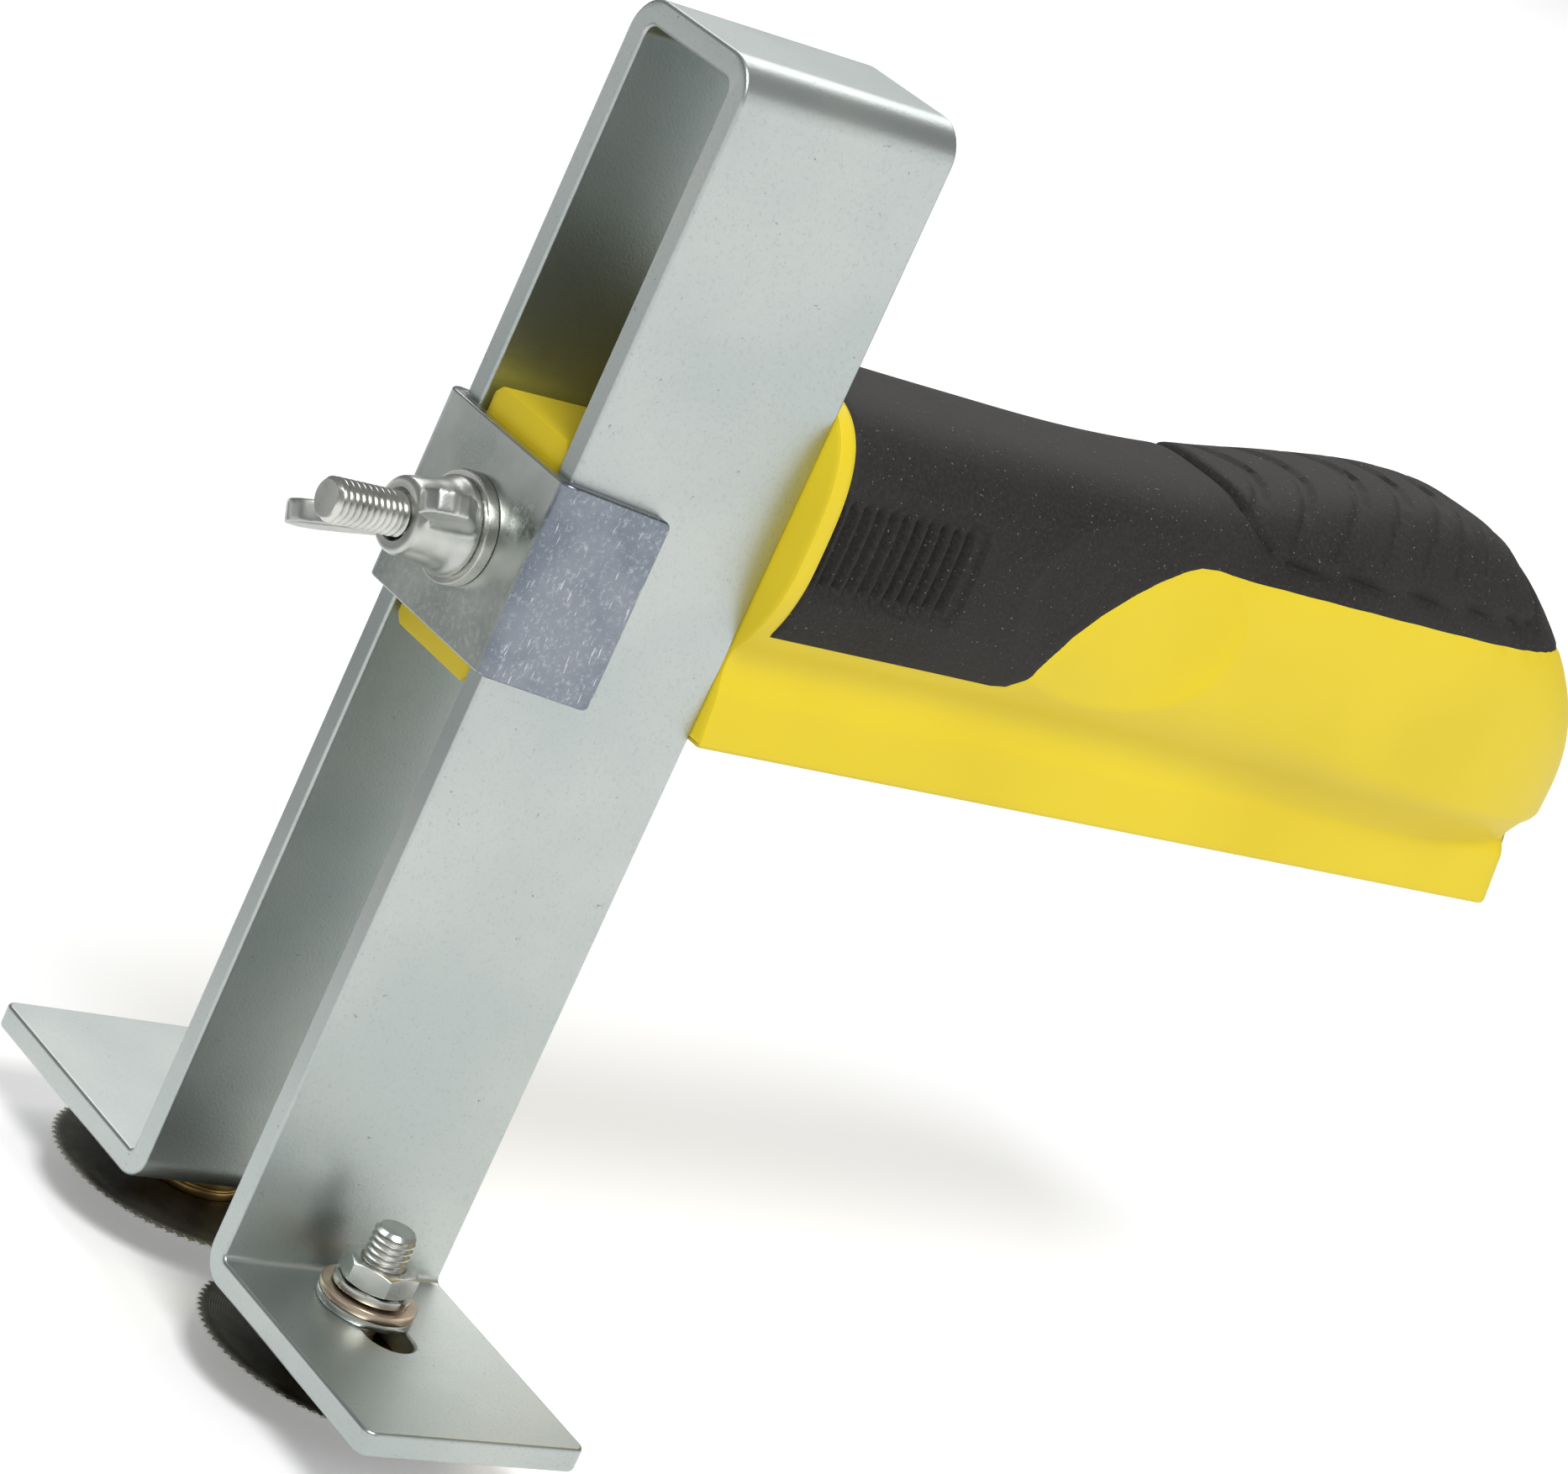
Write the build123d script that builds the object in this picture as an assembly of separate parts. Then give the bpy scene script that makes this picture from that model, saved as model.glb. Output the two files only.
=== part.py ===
from build123d import *
import math
import os

# Hand-held plasterboard strip cutter, in millimetres.
# A bent steel strip makes a U whose legs straddle the board. Two serrated wheels under the
# outward feet score both faces, and the underside of a sliding handle is the fence.
# +Z is up along the legs, +X runs along the handle and Y goes across the gap.
# The origin is the middle of the cutting gap, in the plane of the two wheels, so the height
# of the fence above it is the width of the strip that is cut.

# ---- Frame: bent flat bar ----
bar_width = 30.0
bar_thickness = 3.0
leg_gap = 16.8
frame_height = 147.4
foot_span = 91.2
top_bend_radius = 1.5
foot_bend_radius = 0.8
bar_edge_round = 0.45
foot_corner_radius = 1.5

# ---- Cutter wheels and their bolts ----
wheel_diameter = 34.5
wheel_thickness = 1.0
wheel_edge_thickness = 0.3
wheel_bevel_width = 1.4
wheel_gap = 3.0
tooth_count = 80
tooth_depth = 0.45
wheel_fit = 0.05
axial_play = 0.05
bush_collar_diameter = 12.0
bush_collar_height = 2.85
bush_sleeve_diameter = 8.0
bolt_diameter = 5.0
bolt_fit = 0.05
bolt_head_flats = 8.0
bolt_head_height = 3.5
bolt_protrusion = 4.1
bolt_end_chamfer = 0.5
thrust_washer_diameter = 11.5
thrust_washer_thickness = 1.0
flat_washer_diameter = 11.5
flat_washer_thickness = 1.0
spring_washer_diameter = 9.2
spring_washer_thickness = 1.3
spring_washer_gap = 0.6
nut_flats = 8.0
nut_height = 2.7
nut_corner_chamfer = 0.4
washer_to_leg = 1.65
slot_side_clearance = 0.5
slot_end_clearance = 0.2
inward_travel = 0.8
outward_travel = 6.5
nut_turn = 12
spring_washer_turn = -50

# ---- Handle ----
fence_height = 76.7
tongue_side_clearance = 0.6
tongue_height = 29.0
tongue_chamfer = 1.0
tongue_setback = 0.7
seat_gap = 0.05
handle_length = 140.9
rail_rear_setback = 8.7
rail_bottom_width = 26.4
rail_top_width = 24.8
rail_side_height = 5.5
rail_shoulder_height = 4.5
rail_neck_width = 21.0
fence_edge_round = 0.6
grip_width = 31.6
grip_bottom_height = 6.0
widest_height_front = 24.0
widest_height_rear = 12.6
widest_drop_start, widest_drop_length = 25.0, 110.0
collar_length = 2.7
collar_chamfer = 0.6
grip_skin = 2.0
# Height of the grip's top above the fence, at distances behind the handle's front face.
grip_top_line = ((0.0, 42.0), (29.9, 41.3), (49.9, 41.2), (66.9, 42.4), (82.9, 44.9), (96.9, 46.4),
                 (110.9, 45.6), (124.9, 42.8), (140.9, 40.8))
# The round rear end: the length over which the width, top and underside close in, and how squarely.
rear_width_run, rear_width_power = 36.2, 2.5
rear_top_run, rear_top_power = 37.3, 1.86
rear_bottom_run, rear_bottom_power = 37.7, 2.04
upper_section_power = 3.3
lower_section_power = 2.0
outline_points = 24
# Where the grip's outlines stand, as distances from its front and then from its rear end.
front_stations = (0, 15, 32, 50, 66, 82)
rear_stations = (43, 33, 25, 17, 10.5, 5.5, 2.2, 0.5)
# Lower edge of the rubber, seen from the side: low at the front, stepped up to the rear.
rubber_low_height = 14.9
rubber_step_start = 36.2
rubber_step_end = 58.9
rubber_high_height = 34.4
rubber_step_radius = 6.0
rubber_margin = 10.0

# ---- Clamp ----
clamp_bolt_length = 45.0
clamp_bolt_tip_reach = 35.0
bracket_sheet = 1.6
bracket_height = 23.0
bracket_depth = 15.3
bracket_bend_radius = 0.4
bracket_side_clearance = 0.1
bracket_corner_radius = 0.8
bracket_tab_droop = 1.5
clamp_washer_diameter = 12.7
clamp_washer_thickness = 1.6
wing_hub_base_diameter = 11.0
wing_hub_top_diameter = 8.8
wing_hub_height = 7.5
wing_span = 28.4
wing_height = 13.0
wing_thickness = 2.4
wing_foot_height = 1.5
wing_root_height = 6.0
wing_tip_underside = 7.5
wing_tip_width = 5.0
wing_corner_radius = 2.4
wing_tilt = -28.5

# ---- Worked out from the sizes above ----
foot_underside = wheel_thickness / 2 + axial_play + bush_collar_height
foot_top = foot_underside + bar_thickness
frame_top = foot_underside + frame_height
leg_outer_y = leg_gap / 2 + bar_thickness
tongue_width = leg_gap - 2 * tongue_side_clearance
# The wheels stand close beside the legs, but never so close that their rims touch.
bolt_beside_leg = leg_outer_y + washer_to_leg + flat_washer_diameter / 2
bolt_y = max(bolt_beside_leg, (wheel_diameter + wheel_gap) / 2)
bolt_radius = bolt_diameter / 2
clear_bore = bolt_radius + bolt_fit
handle_front = bar_width / 2 + seat_gap
tongue_front = -bar_width / 2 + tongue_setback
clamp_axis_height = fence_height + tongue_height / 2
bracket_inner_x = -bar_width / 2 - seat_gap
bracket_outer_x = bracket_inner_x - bracket_sheet
washer_outer_x = bracket_outer_x - clamp_washer_thickness


def flat_face(points):
    """A flat face inside a closed run of straight edges."""
    return make_face(Polyline([Vector(*p) for p in points], close=True)).face()


def hexagon_bar(flats, height):
    """A hexagonal prism standing on Z = 0."""
    return extrude(RegularPolygon(flats / 2, 6, major_radius=False), height)


def ring(outer_diameter, bore_radius, height):
    """A flat ring standing on Z = 0."""
    return extrude(Circle(outer_diameter / 2) - Circle(bore_radius), height)


def make_frame():
    """The U with its outward feet, bent from one bar, and a slot in each foot."""
    inner, outer, tip = leg_gap / 2, leg_outer_y, foot_span / 2
    inner_top = frame_top - bar_thickness
    half = [(inner, inner_top), (inner, foot_underside), (tip, foot_underside), (tip, foot_top),
            (outer, foot_top), (outer, frame_top)]
    outline = half + [(-y, z) for y, z in reversed(half)]
    section = flat_face([(0, y, z) for y, z in outline])

    def corners(y, z):
        return [v for v in section.vertices() if abs(abs(v.Y) - y) < 1e-6 and abs(v.Z - z) < 1e-6]

    bends = ((inner, inner_top, top_bend_radius), (outer, frame_top, top_bend_radius + bar_thickness),
             (outer, foot_top, foot_bend_radius), (inner, foot_underside, foot_bend_radius + bar_thickness))
    for y, z, radius in bends:
        section = section.fillet_2d(radius, corners(y, z))
    bar = extrude(section, bar_width / 2, dir=(1, 0, 0), both=True)
    tip_edges = [e for e in bar.edges().filter_by(Axis.Z)
                 if abs(abs(e.center().Y) - tip) < 1e-6 and abs(abs(e.center().X) - bar_width / 2) < 1e-6]
    bar = fillet(tip_edges, foot_corner_radius)
    side_edges = [e for f in bar.faces().filter_by(Axis.X) for e in f.edges()]
    bar = fillet(side_edges, bar_edge_round)

    slot_width = bolt_diameter + 2 * slot_side_clearance
    slot_inner = bolt_y - inward_travel - bolt_radius - slot_end_clearance
    slot_outer = bolt_y + outward_travel + bolt_radius + slot_end_clearance
    for side in (-1, 1):
        slot = extrude(SlotOverall(slot_outer - slot_inner, slot_width, rotation=90), 3 * bar_thickness)
        bar -= Pos(0, side * (slot_inner + slot_outer) / 2, foot_underside - bar_thickness) * slot
    return bar


def make_wheel():
    """A thin disc, bevelled to a serrated rim, with its bore on the bush's sleeve."""
    radius, half, edge = wheel_diameter / 2, wheel_thickness / 2, wheel_edge_thickness / 2
    bore = bush_sleeve_diameter / 2 + wheel_fit
    profile = [(bore, -half), (radius - wheel_bevel_width, -half), (radius, -edge),
               (radius, edge), (radius - wheel_bevel_width, half), (bore, half)]
    disc = revolve(flat_face([(r, 0, z) for r, z in profile]), Axis.Z)
    notch_half_width = math.pi * radius / tooth_count
    notch = flat_face([(radius - tooth_depth, 0), (radius + tooth_depth, 2 * notch_half_width),
                       (radius + tooth_depth, -2 * notch_half_width)])
    cutter = Pos(0, 0, -half) * extrude(notch, wheel_thickness, dir=(0, 0, 1))
    return disc - [Rot(0, 0, 360 / tooth_count * k) * cutter for k in range(tooth_count)]


def make_bush():
    """Brass bush: a sleeve through the wheel and a collar that spaces it from the foot."""
    sleeve_bottom = -wheel_thickness / 2 - axial_play
    collar_bottom = wheel_thickness / 2 + axial_play
    sleeve = Pos(0, 0, sleeve_bottom) * ring(bush_sleeve_diameter, clear_bore, collar_bottom - sleeve_bottom)
    return sleeve + Pos(0, 0, collar_bottom) * ring(bush_collar_diameter, clear_bore, bush_collar_height)


def wheel_stack():
    """Heights of the pieces on a wheel bolt, from its head up to its end."""
    thrust_top = -wheel_thickness / 2 - axial_play
    head_top = thrust_top - thrust_washer_thickness
    lower_washer = foot_top
    upper_washer = lower_washer + flat_washer_thickness
    spring = upper_washer + flat_washer_thickness
    nut = spring + spring_washer_thickness
    return head_top, lower_washer, upper_washer, spring, nut, nut + nut_height + bolt_protrusion


def make_wheel_bolt():
    """Hexagon bolt pointing up, its head under the wheel."""
    head_top, end = wheel_stack()[0], wheel_stack()[-1]
    shank = Pos(0, 0, head_top) * extrude(Circle(bolt_radius), end - head_top)
    shank = chamfer(shank.edges().group_by(Axis.Z)[-1], bolt_end_chamfer)
    return shank + Pos(0, 0, head_top - bolt_head_height) * hexagon_bar(bolt_head_flats, bolt_head_height)


def make_spring_washer():
    """A ring cut open by one narrow gap."""
    washer = ring(spring_washer_diameter, clear_bore, spring_washer_thickness)
    gap = Box(spring_washer_diameter, spring_washer_gap, 3 * spring_washer_thickness,
              align=(Align.MIN, Align.CENTER, Align.CENTER))
    return washer - gap


def make_hex_nut():
    """Thin hexagon nut with turned-down corners."""
    nut = hexagon_bar(nut_flats, nut_height)
    blank = extrude(Circle(nut_flats / math.sqrt(3)), nut_height)
    blank = chamfer(blank.edges().filter_by(GeomType.CIRCLE), nut_corner_chamfer)
    return (nut & blank) - Cylinder(clear_bore, 3 * nut_height)


def wheel_side_nodes(side, name):
    """All the pieces on one wheel bolt, each in its own node."""
    head_top, lower_washer, upper_washer, spring, nut, _ = wheel_stack()
    thrust_washer = ring(thrust_washer_diameter, clear_bore, thrust_washer_thickness)
    flat_washer = ring(flat_washer_diameter, clear_bore, flat_washer_thickness)
    pieces = {
        "cutter_wheel": make_wheel(),
        "brass_bush": make_bush(),
        "wheel_bolt": make_wheel_bolt(),
        "thrust_washer": Pos(0, 0, head_top) * thrust_washer,
        "lower_flat_washer": Pos(0, 0, lower_washer) * flat_washer,
        "upper_flat_washer": Pos(0, 0, upper_washer) * flat_washer,
        "spring_washer": Pos(0, 0, spring) * Rot(0, 0, spring_washer_turn) * make_spring_washer(),
        "hex_nut": Pos(0, 0, nut) * Rot(0, 0, nut_turn) * make_hex_nut(),
    }
    return {f"{name}_{piece}": Pos(0, side * bolt_y, 0) * solid for piece, solid in pieces.items()}


def closing(to_rear, run, power):
    """1 along the grip, falling to 0 at its rear end on a rounded curve."""
    reach = max(0.0, 1 - to_rear / run)
    return (1 - reach ** power) ** (1 / power)


def top_height(distance):
    """Height of the grip's top above the fence, on a smooth curve through its points."""
    line = grip_top_line
    last = len(line) - 1
    if distance >= line[last][0]:
        return line[last][1]

    def slope(k):
        (x0, z0), (x1, z1) = line[max(k - 1, 0)], line[min(k + 1, last)]
        return (z1 - z0) / (x1 - x0)

    k = max(i for i in range(last) if line[i][0] <= distance)
    (x0, z0), (x1, z1) = line[k], line[k + 1]
    span = x1 - x0
    t = (distance - x0) / span
    start = z0 * (1 + 2 * t) + span * slope(k) * t
    end = z1 * (3 - 2 * t) + span * slope(k + 1) * (t - 1)
    return start * (1 - t) ** 2 + end * t ** 2


def grip_section(distance, inset):
    """Closed outline of the grip across the handle, drawn in by inset all round."""
    to_rear = handle_length - inset - distance
    blend = min(1.0, max(0.0, (distance - widest_drop_start) / widest_drop_length))
    widest_drop = (widest_height_front - widest_height_rear) * blend * blend * (3 - 2 * blend)
    widest = widest_height_front - widest_drop
    rise = top_height(distance) - inset - widest
    drop = widest - grip_bottom_height - inset
    half_width = (grip_width / 2 - inset) * closing(to_rear, rear_width_run, rear_width_power)
    rise *= closing(to_rear, rear_top_run, rear_top_power)
    drop *= closing(to_rear, rear_bottom_run, rear_bottom_power)
    points = []
    for step in range(outline_points):
        angle = 2 * math.pi * step / outline_points
        c, s = math.cos(angle), math.sin(angle)
        power, height = (upper_section_power, rise) if s > 0 else (lower_section_power, drop)
        y = half_width * math.copysign(abs(c) ** (2 / power), c)
        z = widest + height * math.copysign(abs(s) ** (2 / power), s)
        points.append(Vector(handle_front + distance, y, fence_height + z))
    return make_face(Spline(points, periodic=True))


def make_grip(inset):
    """The rounded body of the grip, lofted from front to rear."""
    length = handle_length - inset
    rear = [length - d for d in rear_stations]
    stations = [d for d in front_stations if d < rear[0]] + rear
    return loft([grip_section(d, inset) for d in stations])


def make_rail():
    """The flared foot of the handle, whose flat underside is the fence."""
    bottom, top, neck = rail_bottom_width / 2, rail_top_width / 2, rail_neck_width / 2
    neck_height = rail_side_height + rail_shoulder_height
    half = [(bottom, 0), (top, rail_side_height), (neck, neck_height)]
    outline = half + [(-y, z) for y, z in reversed(half)]
    section = flat_face([(handle_front, y, fence_height + z) for y, z in outline])
    rail = extrude(section, handle_length - rail_rear_setback, dir=(1, 0, 0))
    fence_edges = [e for e in rail.edges().group_by(Axis.Z)[0] if abs(e.center().Y) > 1]
    return fillet(fence_edges, fence_edge_round)


def rubber_region():
    """Everything above the rubber's lower edge, as a block right through the handle."""
    x0 = handle_front + collar_length
    low, high = fence_height + rubber_low_height, fence_height + rubber_high_height
    top = fence_height + max(z for _, z in grip_top_line) + rubber_margin
    rear = handle_front + handle_length + rubber_margin
    step_start, step_end = handle_front + rubber_step_start, handle_front + rubber_step_end
    outline = [(x0, low), (step_start, low), (step_end, high), (rear, high), (rear, top), (x0, top)]
    region = flat_face([(x, 0, z) for x, z in outline])
    steps = [v for v in region.vertices() if min(abs(v.X - step_start), abs(v.X - step_end)) < 1e-6]
    return extrude(region.fillet_2d(rubber_step_radius, steps), grip_width, dir=(0, 1, 0), both=True)


def make_clamp_bolt():
    """Hexagon bolt along X, moulded into the tongue, with its thread out in front."""
    tip = -clamp_bolt_tip_reach
    shank = extrude(Circle(bolt_radius), clamp_bolt_length)
    shank = chamfer(shank.edges().group_by(Axis.Z)[0], bolt_end_chamfer)
    bolt = shank + Pos(0, 0, clamp_bolt_length) * hexagon_bar(bolt_head_flats, bolt_head_height)
    return Pos(tip, 0, clamp_axis_height) * Rot(0, 90, 0) * bolt


def make_handle(clamp_bolt):
    """The moulded handle body with its tongue, and the rubber laid over its grip."""
    front_edges = make_grip(0).faces().sort_by(Axis.X)[0].edges()
    outer = chamfer(front_edges, collar_chamfer) + make_rail()
    rubber = (outer - make_grip(grip_skin)) & rubber_region()
    tongue_length = handle_front - tongue_front + collar_length
    tongue = Box(tongue_length, tongue_width, tongue_height, align=(Align.MIN, Align.CENTER, Align.MIN))
    tongue = chamfer(tongue.edges().filter_by(Axis.X), tongue_chamfer)
    core = (outer - rubber) + Pos(tongue_front, 0, fence_height) * tongue
    return core - clamp_bolt, rubber


def make_bracket():
    """Bent sheet bridging the near edges of the legs, with a drooping tab outside each leg."""
    inner = leg_outer_y + bracket_side_clearance
    outer = inner + bracket_sheet
    tab_end = bracket_outer_x + bracket_depth
    outline = [(bracket_outer_x, -outer), (bracket_outer_x, outer), (tab_end, outer), (tab_end, inner),
               (bracket_inner_x, inner), (bracket_inner_x, -inner), (tab_end, -inner), (tab_end, -outer)]
    bottom = clamp_axis_height - bracket_height / 2
    top = bottom + bracket_height
    fold = bracket_inner_x + bracket_bend_radius
    section = flat_face([(x, y, bottom - bracket_tab_droop) for x, y in outline])
    for x, y, radius in ((bracket_outer_x, outer, bracket_bend_radius + bracket_sheet),
                         (bracket_inner_x, inner, bracket_bend_radius)):
        bends = [v for v in section.vertices() if abs(v.X - x) < 1e-6 and abs(abs(v.Y) - y) < 1e-6]
        section = section.fillet_2d(radius, bends)
    sheet = extrude(section, bracket_height + bracket_tab_droop, dir=(0, 0, 1))
    lowered_top = top - bracket_tab_droop
    lowered_bottom = bottom - bracket_tab_droop
    side_view = [(bracket_outer_x, bottom), (bracket_outer_x, top), (fold, top), (tab_end, lowered_top),
                 (tab_end, lowered_bottom), (fold, bottom)]
    sheet &= extrude(flat_face([(x, 0, z) for x, z in side_view]), outer, dir=(0, 1, 0), both=True)
    tab_corners = [e for e in sheet.edges().filter_by(Axis.Y) if abs(e.center().X - tab_end) < 1e-6]
    sheet = fillet(tab_corners, bracket_corner_radius)
    bore = Rot(0, 90, 0) * Cylinder(clear_bore, 4 * bracket_sheet)
    return sheet - Pos(bracket_inner_x, 0, clamp_axis_height) * bore


def make_wing_nut():
    """Cone-shaped hub along -X with two rounded wings."""
    hub = revolve(flat_face([(0, 0), (wing_hub_base_diameter / 2, 0),
                             (wing_hub_top_diameter / 2, wing_hub_height), (0, wing_hub_height)]), Axis.Y)
    root, foot, tip = bolt_diameter / 2 + 1, wing_hub_base_diameter / 2, wing_span / 2
    wing = flat_face([(root, wing_foot_height), (foot, wing_foot_height), (tip, wing_tip_underside),
                      (tip, wing_height), (tip - wing_tip_width, wing_height), (root, wing_root_height)])
    wing = wing.fillet_2d(wing_corner_radius, [v for v in wing.vertices() if v.Y > wing_root_height])
    wing = extrude(wing, wing_thickness / 2, dir=(0, 0, 1), both=True)
    nut = hub + wing + mirror(wing, Plane.YZ)
    nut -= Rot(90, 0, 0) * Cylinder(clear_bore, 4 * wing_height)
    turned = Rot(0, 0, 90) * nut
    return Pos(washer_outer_x, 0, clamp_axis_height) * Rot(wing_tilt, 0, 0) * turned


def build_nodes():
    clamp_bolt = make_clamp_bolt()
    core, rubber = make_handle(clamp_bolt)
    washer = ring(clamp_washer_diameter, clear_bore, clamp_washer_thickness)
    nodes = {
        "frame": make_frame(),
        "handle_core": core,
        "grip_overmould": rubber,
        "clamp_bolt": clamp_bolt,
        "clamp_bracket": make_bracket(),
        "clamp_washer": Pos(washer_outer_x, 0, clamp_axis_height) * Rot(0, 90, 0) * washer,
        "wing_nut": make_wing_nut(),
    }
    for side, name in ((-1, "right"), (1, "left")):
        nodes.update(wheel_side_nodes(side, name))
    return nodes


os.makedirs("parts", exist_ok=True)
for node, solid in build_nodes().items():
    export_step(solid, f"parts/{node}.step")
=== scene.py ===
import math

import bmesh
import bpy
from mathutils import Euler, Matrix, Vector


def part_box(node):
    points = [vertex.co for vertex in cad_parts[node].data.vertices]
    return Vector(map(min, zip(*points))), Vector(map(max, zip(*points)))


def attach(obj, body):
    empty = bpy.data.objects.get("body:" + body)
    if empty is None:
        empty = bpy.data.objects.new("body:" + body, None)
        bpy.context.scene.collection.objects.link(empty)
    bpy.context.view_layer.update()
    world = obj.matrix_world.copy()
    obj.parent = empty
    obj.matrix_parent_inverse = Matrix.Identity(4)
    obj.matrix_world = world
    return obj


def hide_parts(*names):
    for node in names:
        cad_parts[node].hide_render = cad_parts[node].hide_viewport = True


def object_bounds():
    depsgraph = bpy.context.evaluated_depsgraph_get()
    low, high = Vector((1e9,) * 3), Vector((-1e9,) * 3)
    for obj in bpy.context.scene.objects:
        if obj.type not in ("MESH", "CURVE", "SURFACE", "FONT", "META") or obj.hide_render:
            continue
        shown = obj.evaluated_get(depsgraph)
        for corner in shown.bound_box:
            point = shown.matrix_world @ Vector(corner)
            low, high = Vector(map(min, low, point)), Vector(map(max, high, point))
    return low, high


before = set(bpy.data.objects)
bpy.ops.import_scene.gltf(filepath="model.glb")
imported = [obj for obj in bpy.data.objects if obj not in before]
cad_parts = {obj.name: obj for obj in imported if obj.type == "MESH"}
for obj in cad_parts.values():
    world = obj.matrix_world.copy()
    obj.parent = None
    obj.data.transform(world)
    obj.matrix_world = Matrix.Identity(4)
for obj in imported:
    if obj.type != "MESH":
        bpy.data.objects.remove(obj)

cad_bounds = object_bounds()
MM = 0.001

# ---- Camera, lights and floor: places in millimetres, turns in degrees ----
camera_place = (-349.0, -426.1, 234.2)
camera_turn = (72.92, -24.13, -35.11)
camera_lens = 119.8
camera_shift = (0.0014, 0.0064)
floor_size = 12000.0
floor_gap = 0.2
world_grey = 0.26
# Painted shade: a soft grey patch on the floor beside the far foot, there only to darken what the steel
# faces turned towards -X reflect. In metres: its middle, where it starts to fade, and where the floor is
# fully pale again.
painted_shade_middle = (-0.215, 0.24, 0.0)
painted_shade_inner, painted_shade_outer = 0.11, 0.27


def cad_box(node):
    """Lowest and highest corner of a CAD node, in millimetres."""
    low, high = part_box(node)
    return low / MM, high / MM


# ---- Sizes shared with the CAD, in millimetres, read off its boxes where a box shows them ----
bar_low, bar_high = cad_box("frame")
bar_width = bar_high.x - bar_low.x
bar_thickness = 3.0
leg_gap = 16.8
leg_outer = leg_gap / 2 + bar_thickness
foot_tip = bar_high.y
foot_underside = bar_low.z
foot_top = foot_underside + bar_thickness
wheel_y = 18.8
bolt_radius = 2.5
thread_pitch = 0.8
bolt_flats, bolt_head = 8.0, 3.5
washer_radius, washer_bore = 5.75, 2.6
core_low, core_high = cad_box("handle_core")
fence_z = core_low.z
handle_front = 15.05
handle_length = 140.9
rail_length = 132.2
clamp_z = (cad_box("clamp_washer")[0].z + cad_box("clamp_washer")[1].z) / 2
stud_tip = cad_box("clamp_bolt")[0].x
clamp_washer_face = cad_box("clamp_washer")[0].x


# ================= Shader maths =================
class Socket:
    """A value in a node material. Sums written with it add Math nodes."""

    def __init__(self, paint, output):
        self.paint = paint
        self.output = output

    def math(self, operation, *values):
        return self.paint.node("ShaderNodeMath", {"operation": operation}, *values)

    def __add__(self, other):
        return self.math("ADD", self, other)

    __radd__ = __add__

    def __sub__(self, other):
        return self.math("SUBTRACT", self, other)

    def __mul__(self, other):
        return self.math("MULTIPLY", self, other)

    __rmul__ = __mul__

    def above(self, low, high):
        """0 below low, 1 over high, and smooth between them."""
        return self.paint.node("ShaderNodeMapRange", {"interpolation_type": "SMOOTHSTEP"}, self, low, high)


class Paint:
    """A procedural material: one Principled shader and the nodes that feed it."""

    def __init__(self, name):
        self.material = bpy.data.materials.new(name)
        self.material.use_nodes = True
        self.tree = self.material.node_tree
        self.tree.nodes.clear()
        self.shader = self.tree.nodes.new("ShaderNodeBsdfPrincipled")
        out = self.tree.nodes.new("ShaderNodeOutputMaterial")
        self.tree.links.new(self.shader.outputs[0], out.inputs["Surface"])
        self.place = self.node("ShaderNodeTexCoord", {}, out="Object")

    def node(self, kind, settings, *values, out=0, **named):
        """Adds a node, makes its settings, then feeds its inputs in order or by name."""
        node = self.tree.nodes.new(kind)
        for key, value in settings.items():
            if key == "stops":
                self.set_stops(node.color_ramp, value)
            else:
                setattr(node, key, value)
        for index, value in enumerate(values):
            self.feed(node.inputs[index], value)
        for key, value in named.items():
            self.feed(node.inputs[key.replace("_", " ")], value)
        return Socket(self, node.outputs[out])

    @staticmethod
    def set_stops(ramp, stops):
        while len(ramp.elements) < len(stops):
            ramp.elements.new(1.0)
        for element, (position, colour) in zip(ramp.elements, stops):
            element.position = position
            element.color = (*colour, 1.0)

    def feed(self, target, value):
        if isinstance(value, Socket):
            self.tree.links.new(value.output, target)
        else:
            target.default_value = value

    def noise(self, size_mm, detail=2.0, roughness=0.5, stretch=(1, 1, 1)):
        """Soft noise from 0 to 1, with lumps of about size_mm."""
        place = self.node("ShaderNodeMapping", {}, self.place, Scale=stretch)
        return self.node("ShaderNodeTexNoise", {}, place, Scale=1 / (size_mm * MM), Detail=detail,
                         Roughness=roughness)

    def mix(self, share, first, second):
        """A colour from first to second."""
        node = self.tree.nodes.new("ShaderNodeMix")
        node.data_type = "RGBA"
        for target, value in ((node.inputs[0], share), (node.inputs[6], first), (node.inputs[7], second)):
            if isinstance(value, tuple):
                value = (*value, 1.0)
            self.feed(target, value)
        return Socket(self, node.outputs[2])

    def bump(self, height, depth_mm, strength=1.0):
        return self.node("ShaderNodeBump", {}, Strength=strength, Distance=depth_mm * MM, Height=height)

    def set(self, **inputs):
        for key, value in inputs.items():
            if isinstance(value, tuple):
                value = (*value, 1.0)
            self.feed(self.shader.inputs[key.replace("_", " ")], value)
        return self.material


# ================= Materials =================
def zinc_bar_paint():
    """Bright zinc on the bent bar: satin, cloudy, with fine grain and a few dark specks."""
    paint = Paint("zinc_plated_bar")
    cloud = paint.noise(28, 3)
    grain = paint.noise(0.35, 2)
    speck = paint.noise(1.1, 4, 0.75).above(0.66, 0.72)
    tint = paint.mix(cloud.above(0.3, 0.7), (0.44, 0.49, 0.48), (0.53, 0.56, 0.54))
    colour = paint.mix(speck * 0.6, tint, (0.20, 0.21, 0.20))
    colour = paint.mix(grain.above(0.55, 0.8) * 0.35, colour, (0.30, 0.33, 0.32))
    rough = 0.27 + 0.12 * cloud + 0.12 * grain + 0.15 * speck
    return paint.set(Base_Color=colour, Metallic=1.0, Roughness=rough, Normal=paint.bump(grain, 0.016))


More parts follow.
